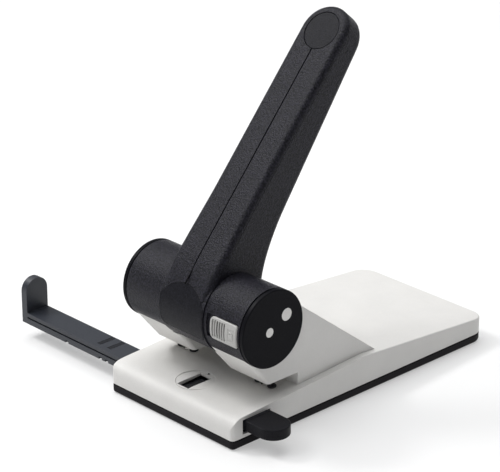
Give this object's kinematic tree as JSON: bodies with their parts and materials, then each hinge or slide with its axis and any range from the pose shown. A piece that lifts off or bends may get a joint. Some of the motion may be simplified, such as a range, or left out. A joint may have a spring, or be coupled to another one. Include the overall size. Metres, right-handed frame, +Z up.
{
  "type": "hole punch",
  "caption": "Heavy-duty desk hole punch: long lever on a drum head, light cover, pull-out paper guide, lock slider and hinged chip tray.",
  "frame": {"origin": "centre of the base's flat underside", "axes": "+Z up, +X along the drum towards the lock slider, -Y towards the side where paper goes in"},
  "size_m": [0.2715, 0.26, 0.2659],
  "materials": {
    "cover_grey": "matte",
    "black_grain": "textured",
    "black_smooth": "satin",
    "slider_grey": "matte",
    "white_plug": "matte",
    "steel": "brushed",
    "black_steel": "satin",
    "spring_steel": "bright",
    "rubber": "matte"
  },
  "bodies": {
    "frame": {"base_cover": "cover_grey", "head_cover": "cover_grey", "chassis_plate": "steel", "left_bracket": "steel", "right_bracket": "steel", "axle_bushes": "steel", "left_guide_block": "steel", "right_guide_block": "steel", "die_plate": "steel", "die_bushes": "steel", "die_screws": "black_steel", "bracket_screws": "steel", "cover_screws": "steel", "left_drum_shell": "black_grain", "right_drum_shell": "black_grain", "left_end_cap": "black_smooth", "right_end_cap": "black_smooth", "large_cap_plugs": "white_plug", "small_cap_plugs": "white_plug", "rail_guide": "black_smooth", "rail_spring": "spring_steel", "tray_hinge_pins": "steel", "left_pin_spring": "spring_steel", "right_pin_spring": "spring_steel"},
    "lever": {"lever_front_shell": "black_grain", "lever_rear_shell": "black_grain", "label_plate": "black_grain", "thumb_disc": "black_grain", "lever_core": "steel", "lever_screws": "black_steel", "axle": "steel", "left_cam": "steel", "right_cam": "steel"},
    "left_pin": {"left_punch_pin": "steel", "left_pin_collar": "steel"},
    "right_pin": {"right_punch_pin": "steel", "right_pin_collar": "steel"},
    "lock": {"lock_slider": "slider_grey", "lock_bolt": "steel"},
    "paper_guide": {"guide_rail": "black_smooth", "rail_grip": "black_smooth"},
    "tray": {"chip_tray": "black_smooth", "rubber_feet": "rubber"}
  },
  "joints": [
    {"name": "lever_hinge", "type": "hinge", "parent": "frame", "child": "lever", "pos_m": [0, -0.0906, 0.0783], "axis": [1, 0, 0], "range_deg": [-40, 0], "stiffness_Nm_per_rad": 1.5, "springref_deg": 17.19},
    {"name": "left_pin_slide", "type": "slide", "parent": "frame", "child": "left_pin", "axis": [0, 0, 1], "range_m": [-0.01101, 0], "deforming": ["left_pin_spring"]},
    {"name": "right_pin_slide", "type": "slide", "parent": "frame", "child": "right_pin", "axis": [0, 0, 1], "range_m": [-0.01101, 0], "deforming": ["right_pin_spring"]},
    {"name": "lock_slide", "type": "slide", "parent": "frame", "child": "lock", "axis": [1, 0, 0], "range_m": [-0.004, 0]},
    {"name": "guide_slide", "type": "slide", "parent": "frame", "child": "paper_guide", "axis": [1, 0, 0], "range_m": [-0.012, 0.095]},
    {"name": "tray_hinge", "type": "hinge", "parent": "frame", "child": "tray", "pos_m": [0, 0.1282, 0.003], "axis": [1, 0, 0], "range_deg": [0, 70]}
  ],
  "couplings": [
    {"joint": "left_pin_slide", "follows": "lever_hinge", "m_per_rad": 0.015756},
    {"joint": "right_pin_slide", "follows": "lever_hinge", "m_per_rad": 0.015756}
  ]
}
